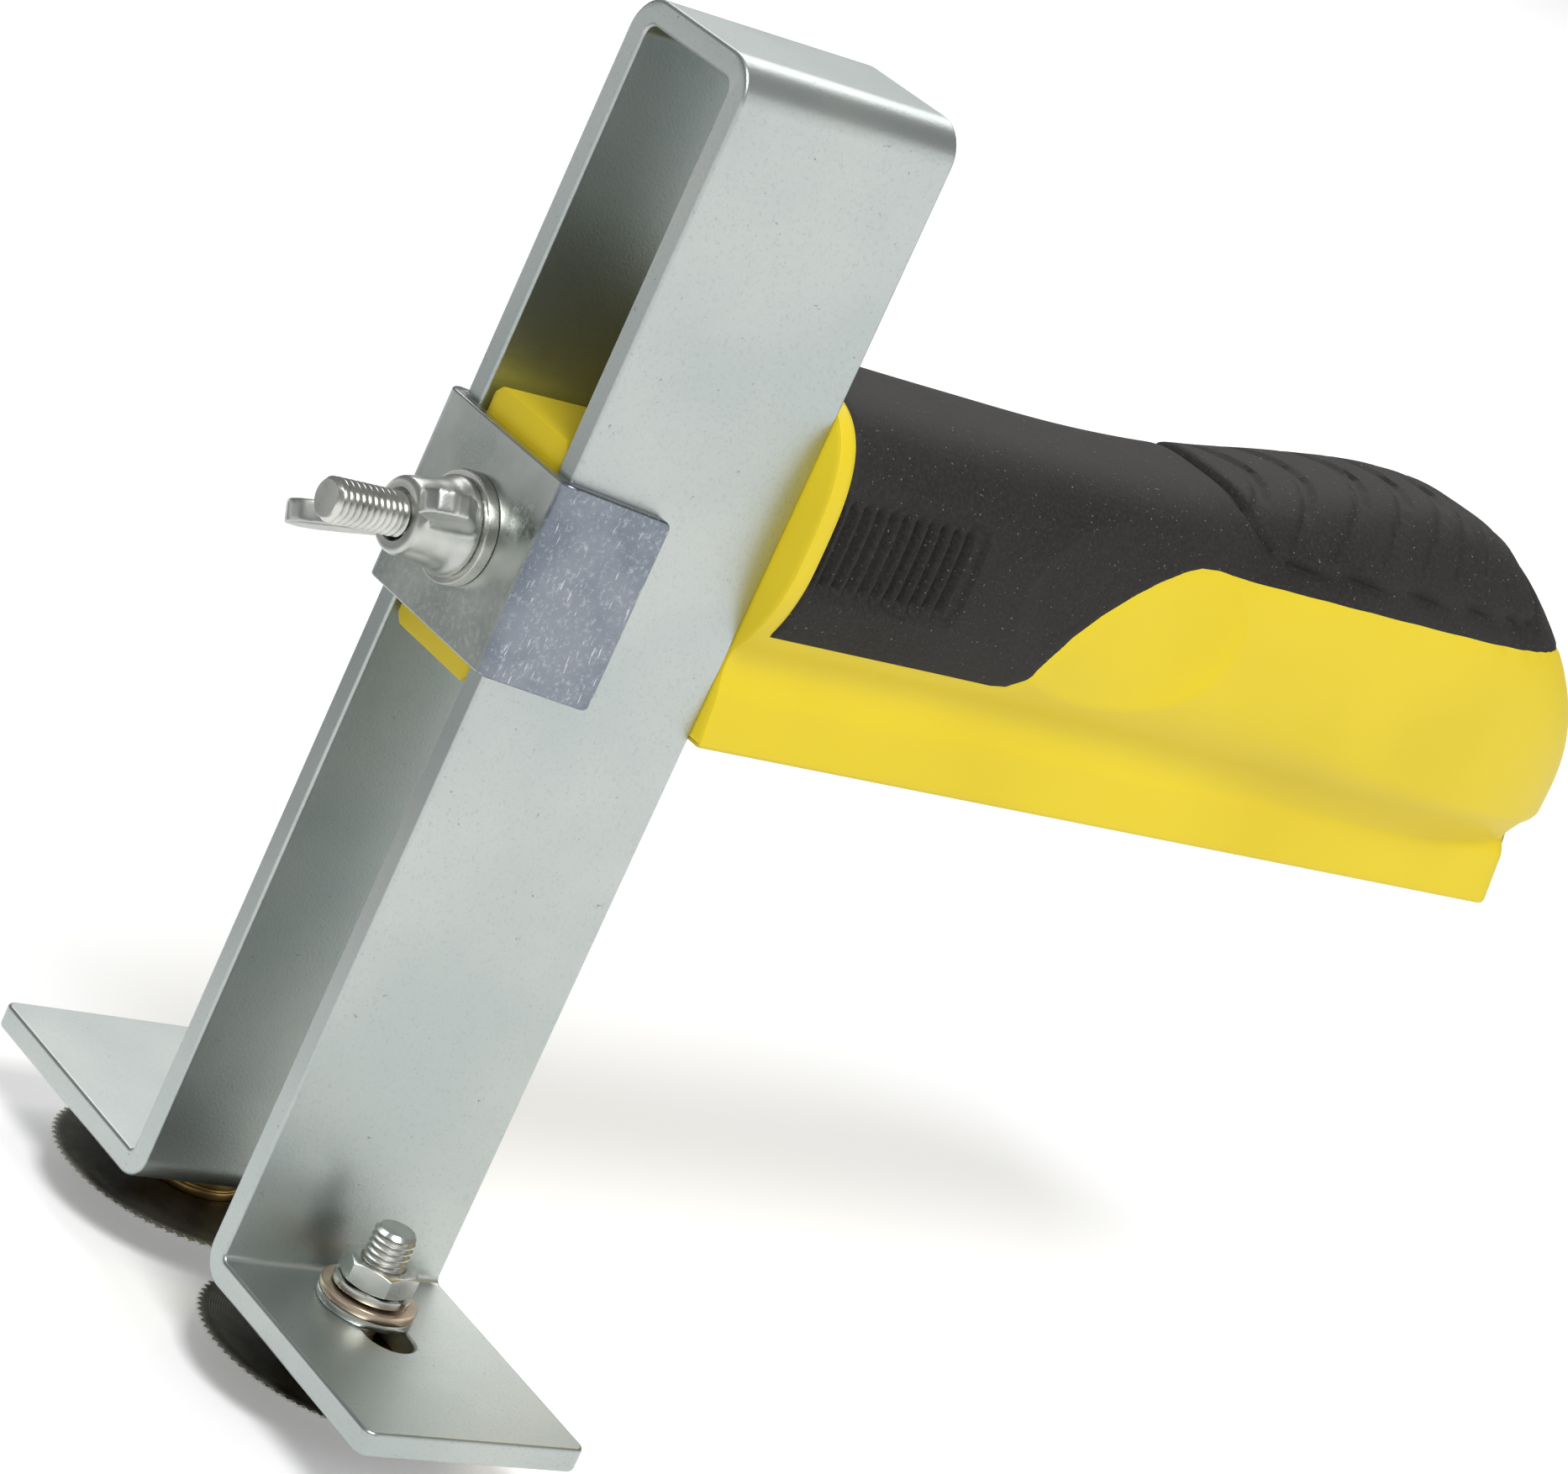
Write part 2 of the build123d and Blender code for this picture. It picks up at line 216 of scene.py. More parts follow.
def zinc_sheet_paint():
    """Zinc on the folded bracket: its tabs darker and bluer than its web, with crystal flecks and
    scratches.
    """
    paint = Paint("zinc_plated_sheet")
    across = paint.node("ShaderNodeSeparateXYZ", {}, paint.place, out="Y")
    tab = paint.node("ShaderNodeMath", {"operation": "ABSOLUTE"}, across).above(11.3 * MM, 12.0 * MM)
    fleck = paint.noise(0.7, 6, 0.85).above(0.50, 0.70)
    cloud = paint.noise(9, 3)
    scratch = paint.noise(0.3, 2, 0.6, stretch=(1, 1, 0.12)).above(0.66, 0.72)
    web_tint = paint.mix(cloud.above(0.3, 0.7), (0.42, 0.45, 0.43), (0.54, 0.57, 0.54))
    tab_tint = paint.mix(cloud.above(0.3, 0.7), (0.15, 0.175, 0.215), (0.24, 0.265, 0.30))
    # The tabs are given a darker, bluer colour than the web.
    colour = paint.mix(tab, web_tint, tab_tint)
    colour = paint.mix(fleck * (0.15 + 0.55 * tab), colour, (0.56, 0.60, 0.64))
    colour = paint.mix(scratch * tab * 0.6, colour, (0.75, 0.77, 0.8))
    rough = 0.24 + 0.16 * fleck + 0.08 * cloud
    return paint.set(Base_Color=colour, Metallic=1.0, Roughness=rough, Normal=paint.bump(fleck, 0.006))


def metal_paint(name, dark, light, roughness, grain_mm=0.3, bump_mm=0.006):
    """A plated or turned metal that varies a little in tint and gloss."""
    paint = Paint(name)
    cloud = paint.noise(3.5, 3)
    grain = paint.noise(grain_mm, 2)
    colour = paint.mix(cloud.above(0.3, 0.7), dark, light)
    rough = roughness + 0.10 * cloud + 0.08 * grain
    return paint.set(Base_Color=colour, Metallic=1.0, Roughness=rough, Normal=paint.bump(grain, bump_mm))


def wheel_paint(name, centre_y, rim_radius):
    """Dark hardened steel with turning marks, ground bright where the teeth are."""
    paint = Paint(name)
    along = paint.node("ShaderNodeVectorMath", {"operation": "SUBTRACT"}, paint.place,
                       (0.0, centre_y * MM, 0.0))
    flat = paint.node("ShaderNodeVectorMath", {"operation": "MULTIPLY"}, along, (1.0, 1.0, 0.0))
    radius = paint.node("ShaderNodeVectorMath", {"operation": "LENGTH"}, flat, out="Value") * (1 / MM)
    rim = radius.above(rim_radius - 1.1, rim_radius - 0.2)
    marks = paint.node("ShaderNodeMath", {"operation": "SINE"}, radius * 21.0)
    cloud = paint.noise(5, 4, 0.6)
    colour = paint.mix(cloud.above(0.3, 0.7), (0.075, 0.07, 0.06), (0.15, 0.145, 0.125))
    colour = paint.mix(rim * 0.75, colour, (0.42, 0.41, 0.37))
    rough = 0.40 + 0.12 * cloud - 0.10 * rim
    return paint.set(Base_Color=colour, Metallic=1.0, Roughness=rough, Normal=paint.bump(marks, 0.012))


def yellow_paint():
    """Yellow moulding: satin, very slightly uneven."""
    paint = Paint("yellow_plastic")
    cloud = paint.noise(40, 2)
    grain = paint.noise(0.22, 2)
    colour = paint.mix(cloud.above(0.3, 0.7), (0.65, 0.495, 0.012), (0.71, 0.55, 0.016))
    rough = 0.44 + 0.06 * grain
    return paint.set(Base_Color=colour, Roughness=rough, Specular_IOR_Level=0.35,
                     Normal=paint.bump(grain, 0.010))


def rubber_paint():
    """Charcoal rubber with a fine matt texture and a dusting of pale flecks."""
    paint = Paint("black_rubber")
    cloud = paint.noise(22, 3)
    grain = paint.noise(0.45, 4, 0.7)
    fleck = paint.noise(0.34, 1, 0.5).above(0.735, 0.77)
    colour = paint.mix(cloud.above(0.3, 0.7), (0.013, 0.011, 0.009), (0.019, 0.0175, 0.016))
    colour = paint.mix(grain.above(0.35, 0.75) * 0.6, colour, (0.038, 0.036, 0.034))
    colour = paint.mix(fleck * 0.55, colour, (0.30, 0.29, 0.27))
    rough = 0.60 + 0.15 * grain
    return paint.set(Base_Color=colour, Roughness=rough, Specular_IOR_Level=0.24,
                     Normal=paint.bump(grain, 0.05))


# ================= Mesh helpers: meshes are made in millimetres =================
def verts_of(result, key="geom"):
    return [item for item in result[key] if isinstance(item, bmesh.types.BMVert)]


def shift(bm, *vec):
    bmesh.ops.translate(bm, verts=bm.verts, vec=vec)
    return bm


def turn(bm, degrees, axis):
    bmesh.ops.rotate(bm, verts=bm.verts, matrix=Matrix.Rotation(math.radians(degrees), 3, axis))
    return bm


def extruded(outline, vec):
    """A prism: a closed outline of 3D points, drawn out along vec."""
    bm = bmesh.new()
    face = bm.faces.new([bm.verts.new(point) for point in outline])
    moved = verts_of(bmesh.ops.extrude_face_region(bm, geom=[face]))
    bmesh.ops.translate(bm, verts=moved, vec=vec)
    bmesh.ops.recalc_face_normals(bm, faces=bm.faces)
    return bm


def turned(profile, closed=True, steps=72):
    """A profile of (radius, height) points, turned about Z."""
    bm = bmesh.new()
    line = [bm.verts.new((radius, 0, height)) for radius, height in profile]
    pairs = list(zip(line, line[1:]))
    if closed:
        pairs.append((line[-1], line[0]))
    edges = [bm.edges.new(pair) for pair in pairs]
    bmesh.ops.spin(bm, geom=line + edges, axis=(0, 0, 1), angle=2 * math.pi, steps=steps, use_merge=True)
    bmesh.ops.remove_doubles(bm, verts=bm.verts, dist=0.0005)
    bmesh.ops.recalc_face_normals(bm, faces=bm.faces)
    return bm


def hexagon_bar(flats, height):
    """A hexagonal prism standing on Z = 0."""
    corner = flats / math.sqrt(3)
    turns = [math.radians(60 * k) for k in range(6)]
    return extruded([(corner * math.cos(t), corner * math.sin(t), 0) for t in turns], (0, 0, height))


def bevel_edges(bm, edges, width, segments=3):
    bmesh.ops.bevel(bm, geom=edges, offset=width, affect="EDGES", segments=segments, profile=0.5,
                    material=-1, clamp_overlap=True)


def edges_at(bm, test):
    """Edges both of whose ends pass the test."""
    return [e for e in bm.edges if all(test(v.co) for v in e.verts)]


def soften(bm, width, segments=2, angle=40):
    """Rounds every edge sharper than angle."""
    limit = math.radians(angle)
    bevel_edges(bm, [e for e in bm.edges if e.is_manifold and e.calc_face_angle() > limit], width, segments)
    return bm


def loose_object(bm, name):
    bmesh.ops.recalc_face_normals(bm, faces=bm.faces)
    mesh = bpy.data.meshes.new(name)
    bm.to_mesh(mesh)
    bm.free()
    piece = bpy.data.objects.new(name, mesh)
    bpy.context.scene.collection.objects.link(piece)
    return piece


def after_modifiers(piece):
    """The piece's final mesh. The piece itself is removed."""
    bm = bmesh.new()
    bm.from_object(piece, bpy.context.evaluated_depsgraph_get())
    mesh = piece.data
    bpy.data.objects.remove(piece)
    bpy.data.meshes.remove(mesh)
    return bm


def carve(bm, tool_bm, operation="DIFFERENCE"):
    """The mesh with the tool cut away, added or kept in common."""
    target, tool = loose_object(bm, "carved"), loose_object(tool_bm, "tool")
    modifier = target.modifiers.new("carve", "BOOLEAN")
    modifier.operation = operation
    modifier.solver = "EXACT"
    modifier.object = tool
    result = after_modifiers(target)
    after_modifiers(tool).free()
    bmesh.ops.remove_doubles(result, verts=result.verts, dist=0.0005)
    return result


def add_shell(bm, other):
    """Puts a second closed shell into the same mesh."""
    mesh = bpy.data.meshes.new("shell")
    other.to_mesh(mesh)
    other.free()
    bm.from_mesh(mesh)
    bpy.data.meshes.remove(mesh)
    return bm


def finish_piece(name, bm, paint, body, slot, *nodes, smooth_angle=34, even=True):
    """Scales a mesh to metres, smooths it up to an angle and hangs it on its body."""
    bmesh.ops.recalc_face_normals(bm, faces=bm.faces)
    limit = math.radians(smooth_angle)
    for face in bm.faces:
        face.smooth = True
    for edge in bm.edges:
        edge.smooth = edge.is_manifold and edge.calc_face_angle() < limit
    bmesh.ops.scale(bm, vec=(MM, MM, MM), verts=bm.verts)
    mesh = bpy.data.meshes.new(name)
    bm.to_mesh(mesh)
    bm.free()
    mesh.materials.append(paint)
    piece = bpy.data.objects.new(name, mesh)
    bpy.context.scene.collection.objects.link(piece)
    if even:
        modifier = piece.modifiers.new("even_shading", "WEIGHTED_NORMAL")
        modifier.keep_sharp = True
    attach(piece, body)
    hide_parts(*nodes)
    return piece


def ring(outer_radius, inner_radius, height, edge_round):
    """A washer standing on Z = 0 with its edges broken."""
    bm = turned([(inner_radius, 0), (outer_radius, 0), (outer_radius, height), (inner_radius, height)])
    return soften(bm, edge_round, 2)


def threaded_rod(radius, length, end_chamfer=0.45, steps=28):
    """A rod standing on Z = 0 with a real screw thread and a chamfered top end."""
    root = radius - 0.54 * thread_pitch
    crest = 0.08 * thread_pitch
    middle = thread_pitch / 2
    profile = [(root, 0), (radius, middle - crest), (radius, middle + crest), (root, thread_pitch)]
    turns = math.ceil(length / thread_pitch) + 2
    bm = bmesh.new()
    line = [bm.verts.new((r, 0, z - thread_pitch)) for r, z in profile]
    edges = [bm.edges.new(pair) for pair in zip(line, line[1:])]
    bmesh.ops.spin(bm, geom=line + edges, axis=(0, 0, 1), dvec=(0, 0, thread_pitch / steps),
                   angle=2 * math.pi * turns, steps=steps * turns)
    bmesh.ops.remove_doubles(bm, verts=bm.verts, dist=0.002)
    for height, normal in ((0, (0, 0, -1)), (length, (0, 0, 1))):
        geom = bm.verts[:] + bm.edges[:] + bm.faces[:]
        bmesh.ops.bisect_plane(bm, geom=geom, plane_co=(0, 0, height), plane_no=normal, clear_outer=True)
        rim = [e for e in bm.edges if e.is_boundary and all(abs(v.co.z - height) < 0.001 for v in e.verts)]
        bmesh.ops.holes_fill(bm, edges=rim)
    for vert in bm.verts:
        reach = math.hypot(vert.co.x, vert.co.y)
        limit = radius - max(0, vert.co.z - (length - end_chamfer))
        if reach > limit:
            vert.co.x *= limit / reach
            vert.co.y *= limit / reach
    return bm


# ================= Frame =================
def make_bar(paint):
    """The U with its feet: a strip of quads drawn out to the bar's width, bends rounded, slots cut."""
    slot_radius, slot_half_run, slot_beyond_bolt, slot_sides = 3.0, 3.35, 2.85, 44
    tip_corner, edge_round = 1.5, 0.42
    inner, half = leg_gap / 2, bar_width / 2
    top = bar_high.z
    outer_line = [(foot_tip, foot_top), (leg_outer, foot_top), (leg_outer, top)]
    inner_line = [(foot_tip, foot_underside), (inner, foot_underside), (inner, top - bar_thickness)]
    outer_line += [(-y, z) for y, z in reversed(outer_line)]
    inner_line += [(-y, z) for y, z in reversed(inner_line)]
    bm = bmesh.new()
    bmesh.ops.create_grid(bm, x_segments=len(outer_line) - 1, y_segments=1, size=1)
    for vert in bm.verts:
        line = outer_line if vert.co.y > 0 else inner_line
        y, z = line[round((vert.co.x + 1) / 2 * (len(line) - 1))]
        vert.co = (-half, y, z)
    moved = verts_of(bmesh.ops.extrude_face_region(bm, geom=bm.faces[:]))
    bmesh.ops.translate(bm, verts=moved, vec=(bar_width, 0, 0))
    bmesh.ops.recalc_face_normals(bm, faces=bm.faces)
    bends = ((inner, top - bar_thickness, 1.5), (leg_outer, top, 4.5), (leg_outer, foot_top, 0.8),
             (inner, foot_underside, 3.8))
    for y, z, radius in bends:
        corner = edges_at(bm, lambda co: abs(abs(co.y) - y) < 0.01 and abs(co.z - z) < 0.01)
        bevel_edges(bm, [e for e in corner if abs(e.verts[0].co.x - e.verts[1].co.x) > 1], radius,
                    10 if radius > 1 else 5)
    tips = [e for e in bm.edges if all(abs(abs(v.co.y) - foot_tip) < 0.01 for v in e.verts)
            and abs(e.verts[0].co.z - e.verts[1].co.z) > 1]
    bevel_edges(bm, tips, tip_corner, 6)
    for hand in (-1, 1):
        slot = bmesh.new()
        bmesh.ops.create_cone(slot, cap_ends=True, segments=slot_sides, radius1=slot_radius,
                              radius2=slot_radius, depth=4 * bar_thickness)
        turn(slot, 180 / slot_sides, "Z")
        for vert in slot.verts:
            vert.co.y += math.copysign(slot_half_run, vert.co.y)
        bm = carve(bm, shift(slot, 0, hand * (wheel_y + slot_beyond_bolt), foot_underside))
    soften(bm, edge_round, 3, 55)
    return finish_piece("bent_bar", bm, paint, "frame", "zinc_plated_bar", "frame")


# ================= Wheels and their stacks =================
def make_wheel(name, side, paint):
    """A thin disc with a bevelled rim cut into fine teeth."""
    low, high = cad_box(f"{name}_cutter_wheel")
    radius, half = (high.x - low.x) / 2, (high.z - low.z) / 2
    teeth, depth, bevel, edge = 80, 0.62, 1.4, 0.14
    bore, web = 4.05, 9.0
    upper = [(radius, edge), (radius - 0.5, edge + 0.08), (radius - bevel, half), (web, half), (bore, half)]
    profile = [(r, -z) for r, z in reversed(upper)] + upper
    bm = turned(profile, steps=4 * teeth)
    for vert in bm.verts:
        reach = math.hypot(vert.co.x, vert.co.y)
        phase = (math.atan2(vert.co.y, vert.co.x) / (2 * math.pi) * teeth) % 1.0
        if reach > radius - 0.6:
            notch = abs(phase - 0.5) * 2 * depth * (1.0 if reach > radius - 0.1 else 0.35)
            vert.co.x *= 1 - notch / reach
            vert.co.y *= 1 - notch / reach
    shift(bm, 0, side * wheel_y, 0)
    return finish_piece(f"{name}_serrated_wheel", bm, paint, f"{name}_wheel", "dark_wheel_steel",
                        f"{name}_cutter_wheel", smooth_angle=25)


def make_spring_washer(outer_radius, height):
    """One open coil of square wire, its ends a little apart in height."""
    inner = bolt_radius + 0.1
    rise, gap = 0.35, 14
    steps = 60
    bm = bmesh.new()
    corners = [(inner, 0), (outer_radius, 0), (outer_radius, height - rise), (inner, height - rise)]
    face = bm.faces.new([bm.verts.new((r, 0, z)) for r, z in corners])
    bmesh.ops.spin(bm, geom=[face], axis=(0, 0, 1), dvec=(0, 0, rise / steps),
                   angle=math.radians(360 - gap), steps=steps)
    bmesh.ops.recalc_face_normals(bm, faces=bm.faces)
    return soften(bm, 0.10, 2, 50)


def make_nut(flats, height):
    """A thin hexagon nut: a hexagon bar with its corners turned down, and a chamfered bore."""
    corner = flats / math.sqrt(3)
    face = flats / 2 - 0.05
    drop = (corner - face) * 0.6
    barrel = turned([(0, 0), (face, 0), (corner + 0.1, drop), (corner + 0.1, height - drop), (face, height),
                     (0, height)], closed=False)
    bm = carve(hexagon_bar(flats, height), barrel, "INTERSECT")
    bore = turned([(0, -1), (2.35, -1), (2.35, height - 0.45), (2.95, height + 0.15), (2.95, height + 1),
                   (0, height + 1)], closed=False)
    return soften(carve(bm, bore), 0.07, 2, 28)


def make_wheel_stack(name, side, paints):
    """Everything on one wheel bolt except the wheel."""
    body = f"{name}_wheel_carrier"

    def put(piece, node, bm, paint, slot, degrees=0):
        turn(bm, degrees, "Z")
        shift(bm, 0, side * wheel_y, cad_box(f"{name}_{node}")[0].z)
        return finish_piece(f"{name}_{piece}", bm, paint, body, slot, f"{name}_{node}")

    def height(node):
        low, high = cad_box(f"{name}_{node}")
        return high.z - low.z

    plated = paints["plated_fastener"]
    bolt_height = height("wheel_bolt")
    corner = bolt_flats / math.sqrt(3) + 0.1
    barrel = turned([(0, 0), (3.8, 0), (corner, 0.6), (corner, 4), (0, 4)], closed=False)
    head = soften(carve(hexagon_bar(bolt_flats, bolt_head), barrel, "INTERSECT"), 0.10, 2, 28)
    thread_start = bolt_head - 0.1
    add_shell(head, shift(threaded_rod(bolt_radius, bolt_height - thread_start), 0, 0, thread_start))
    put("bolt", "wheel_bolt", head, plated, "plated_fastener")
    for piece, node, rounding_width, slot in (
            ("thrust_ring", "thrust_washer", 0.12, "plated_fastener"),
            ("wide_washer", "lower_flat_washer", 0.22, "plated_fastener"),
            ("gold_washer", "upper_flat_washer", 0.22, "yellow_zinc_washer")):
        washer = ring(washer_radius, washer_bore, height(node), rounding_width)
        put(piece, node, washer, paints[slot], slot)
    put("split_washer", "spring_washer", make_spring_washer(4.6, height("spring_washer")), plated,
        "plated_fastener", -62)
    put("thin_nut", "hex_nut", make_nut(bolt_flats, height("hex_nut")), plated, "plated_fastener", 12)
    bush_low, bush_high = cad_box(f"{name}_brass_bush")
    bore, sleeve, collar, groove, collar_height = 2.55, 4.0, 6.0, 5.75, 2.85
    total = bush_high.z - bush_low.z
    base = total - collar_height
    bush = turned([(bore, 0), (sleeve, 0), (sleeve, base), (collar, base), (collar, base + 0.9),
                   (groove, base + 1.05), (groove, base + 1.35), (collar, base + 1.5), (collar, total),
                   (bore, total)])
    put("bush", "brass_bush", soften(bush, 0.10, 2, 50), paints["turned_brass"], "turned_brass")


# ================= Clamp =================
def make_bracket(paint):
    """A folded sheet across the legs' edges, with a tab outside each leg."""
    low, high = cad_box("clamp_bracket")
    sheet, outer, tab_end, droop = 1.6, high.y, high.x, 1.5
    outer_bend, inner_bend, tip_corner, edge_round = 1.9, 0.4, 0.8, 0.28
    bottom = low.z + droop
    inner = outer - sheet
    x0, x1 = low.x, low.x + sheet
    outline = [(x0, -outer), (x0, outer), (tab_end, outer), (tab_end, inner), (x1, inner), (x1, -inner),
               (tab_end, -inner), (tab_end, -outer)]
    bm = extruded([(x, y, bottom) for x, y in outline], (0, 0, high.z - bottom))
    for x, y, radius, segments in ((x0, outer, outer_bend, 8), (x1, inner, inner_bend, 3)):
        bend = edges_at(bm, lambda co: abs(co.x - x) < 0.01 and abs(abs(co.y) - y) < 0.01)
        upright = [e for e in bend if abs(e.verts[0].co.z - e.verts[1].co.z) > 1]
        bevel_edges(bm, upright, radius, segments)
    ends = [e for e in bm.edges if all(abs(v.co.x - tab_end) < 0.01 for v in e.verts)
            and abs(e.verts[0].co.z - e.verts[1].co.z) < 0.01]
    bevel_edges(bm, ends, tip_corner, 4)
    bore = turned([(0, -5), (washer_bore, -5), (washer_bore, 5), (0, 5)], closed=False, steps=40)
    bm = carve(bm, shift(turn(bore, 90, "Y"), low.x, 0, clamp_z))
    soften(bm, edge_round, 3, 50)
    fold = x1 + inner_bend
    for vert in bm.verts:
        vert.co.z -= droop * max(0.0, vert.co.x - fold) / (tab_end - fold)
    return finish_piece("folded_bracket", bm, paint, "clamp_plate", "zinc_plated_sheet", "clamp_bracket")


def make_clamp_fasteners(paints):
    """The stud in the tongue and the washer on it."""
    thread = 44.0
    stud = shift(turn(threaded_rod(bolt_radius, thread), -90, "Y"), stud_tip + thread, 0, clamp_z)
    head = turn(hexagon_bar(bolt_flats, bolt_head), 90, "Y")
    add_shell(stud, shift(head, stud_tip + thread + 0.5, 0, clamp_z))
    finish_piece("moulded_in_stud", stud, paints["plated_fastener"], "handle", "plated_fastener",
                 "clamp_bolt")
    low, high = cad_box("clamp_washer")
    washer = ring((high.z - low.z) / 2, washer_bore, high.x - low.x, 0.3)
    shift(turn(washer, 90, "Y"), low.x, 0, clamp_z)
    finish_piece("wing_nut_washer", washer, paints["plated_fastener"], "clamp_plate", "plated_fastener",
                 "clamp_washer")


def make_wing_nut(paint):
    """A cast wing nut: a flared hub and two rounded wings, melted together and smoothed."""
    wing_tilt, wing_thickness = 28.5, 2.7
    hub = turned([(0, 0), (5.6, 0), (5.65, 0.7), (5.0, 1.9), (4.6, 4.0), (4.35, 7.0), (4.1, 7.5), (0, 7.5)],
                 closed=False, steps=48)
    for hand in (-1, 1):
        outline = [(2.5, 1.0), (5.4, 1.0), (8.2, 2.9), (11.0, 5.2), (13.6, 8.0), (14.2, 10.2), (13.6, 12.2),
                   (12.0, 13.0), (10.4, 12.4), (8.6, 10.2), (6.4, 7.4), (4.4, 6.2), (2.5, 6.2)]
        flat_wing = [(hand * x, -wing_thickness / 2, z) for x, z in outline]
        wing = extruded(flat_wing, (0, wing_thickness, 0))
        hub = carve(hub, wing, "UNION")
    casting = loose_object(hub, "casting")
    remesh = casting.modifiers.new("melt", "REMESH")
    remesh.mode = "VOXEL"
    remesh.voxel_size = 0.26  # millimetres, like the mesh
    smooth = casting.modifiers.new("smooth", "SMOOTH")
    smooth.factor = 0.6
    smooth.iterations = 9
    bm = after_modifiers(casting)
    profile = [(0, -1), (2.45, -1), (2.45, 6.9), (2.95, 7.4), (2.95, 9), (0, 9)]
    bm = carve(bm, turned(profile, closed=False, steps=40))
    turn(bm, -90, "Y")
    turn(bm, 90 - wing_tilt, "X")
    shift(bm, clamp_washer_face, 0, clamp_z)
    return finish_piece("cast_wing_nut", bm, paint, "wing_nut", "plated_casting", "wing_nut",
                        smooth_angle=50, even=False)


# ================= Handle =================
# Distances run back from the collar's face, heights run up from the fence.
grip_top = ((0, 42), (29.9, 41.3), (49.9, 41.2), (66.9, 42.4), (82.9, 44.9), (96.9, 46.4), (110.9, 45.6),
            (124.9, 42.8), (140.9, 40.8))
grip_half_width, grip_bottom, grip_squareness = 15.8, 6.0, 3.3
widest_front, widest_fall, fall_start, fall_run = 24.0, 11.4, 25.0, 110.0
# Run and power of the curves that close the width, the top and the underside at the rear.
rear_width, rear_top, rear_bottom = (36.2, 2.5), (37.3, 1.86), (37.7, 2.04)
# The flared rail under the grip: its side slopes a little, then curves in over the shoulder.
rail_half_width, rail_draft, rail_side, shoulder_curve = 13.2, 0.145, 5.5, 0.16
rail_blend, rail_corner, heel_round, heel_fillet, fence_edge = 7.0, 2.6, 0.8, 3.5, 0.6
upper_steps, side_steps, low_steps, edge_steps, fence_steps = 48, 14, 20, 6, 8
# The rubber sleeve: its lower edge seen from the side, and where it meets the yellow collar.
rubber_edge = ((0, 14.6), (36, 14.6), (38.1, 14.9), (40, 16.6), (41.4, 19.2), (43.6, 22.7), (46.6, 26),
               (49.8, 29), (52.9, 31.4), (56.2, 33.4), (58.2, 34.2), (60.6, 34.5), (66, 34.3), (141, 33.9))
collar_end, sleeve_thickness, bed_gap = 2.6, 2.0, 0.02
parting_depth, parting_width = 0.24, 0.38
# Ribbed thumb pad: a recess with rounded corners, open to the collar.
rib_middle, rib_half_height, rib_corner, rib_end, rib_start, rib_pitch = 26.95, 4.25, 2.0, 22.75, 3.75, 1.93
# Thumb scoop: middle and half sizes of an ellipse seen from the side.
scoop_distance, scoop_height, scoop_long, scoop_short, scoop_depth = 50.25, 26.5, 17.3, 11.5, 1.5
# Palm pad: its front and rear edges as (height, distance), its lower edge, and the bands across it as
# (distance on the middle line, bend).
pad_front = ((37.5, 71.5), (37.9, 69.0), (39.0, 67.3), (40.5, 65.8), (41.2, 65.0), (60, 64.4))
pad_rear = ((37, 116.2), (39.4, 116.1), (41.3, 114.7), (43.2, 113.1), (46, 112))
pad_low, pad_rise, pad_groove = 37.3, 0.35, 0.75
crescents = ((71, 0.050), (78.2, 0.044), (87.2, 0.054), (93.7, 0.046), (100.5, 0.046), (104.2, 0.034),
             (107.6, 0.022), (110.6, 0.012))


def smooth_step(t):
    t = min(max(t, 0.0), 1.0)
    return t * t * (3 - 2 * t)


def closing(to_rear, run, power):
    """1 along the grip, falling to 0 at its rear end on a rounded curve."""
    return (1 - max(0.0, 1 - to_rear / run) ** power) ** (1 / power)


def rounding(past, radius):
    """How far a rounded corner has fallen away at a distance past its start."""
    past = min(max(past, 0.0), radius)
    return radius - math.sqrt(radius ** 2 - past ** 2)


def line_at(line, x, smooth=False):
    """Height of a run of points at x: straight between them, or on a smooth curve."""
    last = len(line) - 1
    x = min(max(x, line[0][0]), line[last][0])
    k = max(i for i in range(last) if line[i][0] <= x)
    (x0, y0), (x1, y1) = line[k], line[k + 1]
    t = (x - x0) / (x1 - x0)
    if not smooth:
        return y0 + (y1 - y0) * t

    def slope(i):
        (xa, ya), (xb, yb) = line[max(i - 1, 0)], line[min(i + 1, last)]
        return (yb - ya) / (xb - xa) * (x1 - x0)

    start = y0 * (1 + 2 * t) + slope(k) * t
    end = y1 * (3 - 2 * t) + slope(k + 1) * (t - 1)
    return start * (1 - t) ** 2 + end * t ** 2


def grip_shape(d):
    """Widest height, half width, rise above that height and drop below it at a station."""
    to_rear = handle_length - d
    widest = widest_front - widest_fall * smooth_step((d - fall_start) / fall_run)
    half = grip_half_width * closing(to_rear, *rear_width)
    rise = (line_at(grip_top, d, True) - widest) * closing(to_rear, *rear_top)
    drop = (widest - grip_bottom) * closing(to_rear, *rear_bottom)
    return widest, half, rise, drop


def side_width(d, height, shape):
    """Half width below the widest line: the grip blended into the flared rail under it."""
    widest, half, _, drop = shape
    grip = half * math.sqrt(max(0.0, 1 - ((widest - height) / drop) ** 2))
    if d > rail_length:
        return grip
    rail = rail_half_width - rail_draft * min(height, rail_side)
    rail -= shoulder_curve * max(0.0, height - rail_side) ** 2
    rail = max(0.0, rail - rounding(d - rail_length + rail_corner, rail_corner))
    blend = min(rail_blend, 2 * grip, 2 * rail)
    if blend <= 0:
        return max(grip, rail)
    return max(grip, rail) + max(0.0, blend - abs(grip - rail)) ** 2 / (4 * blend)


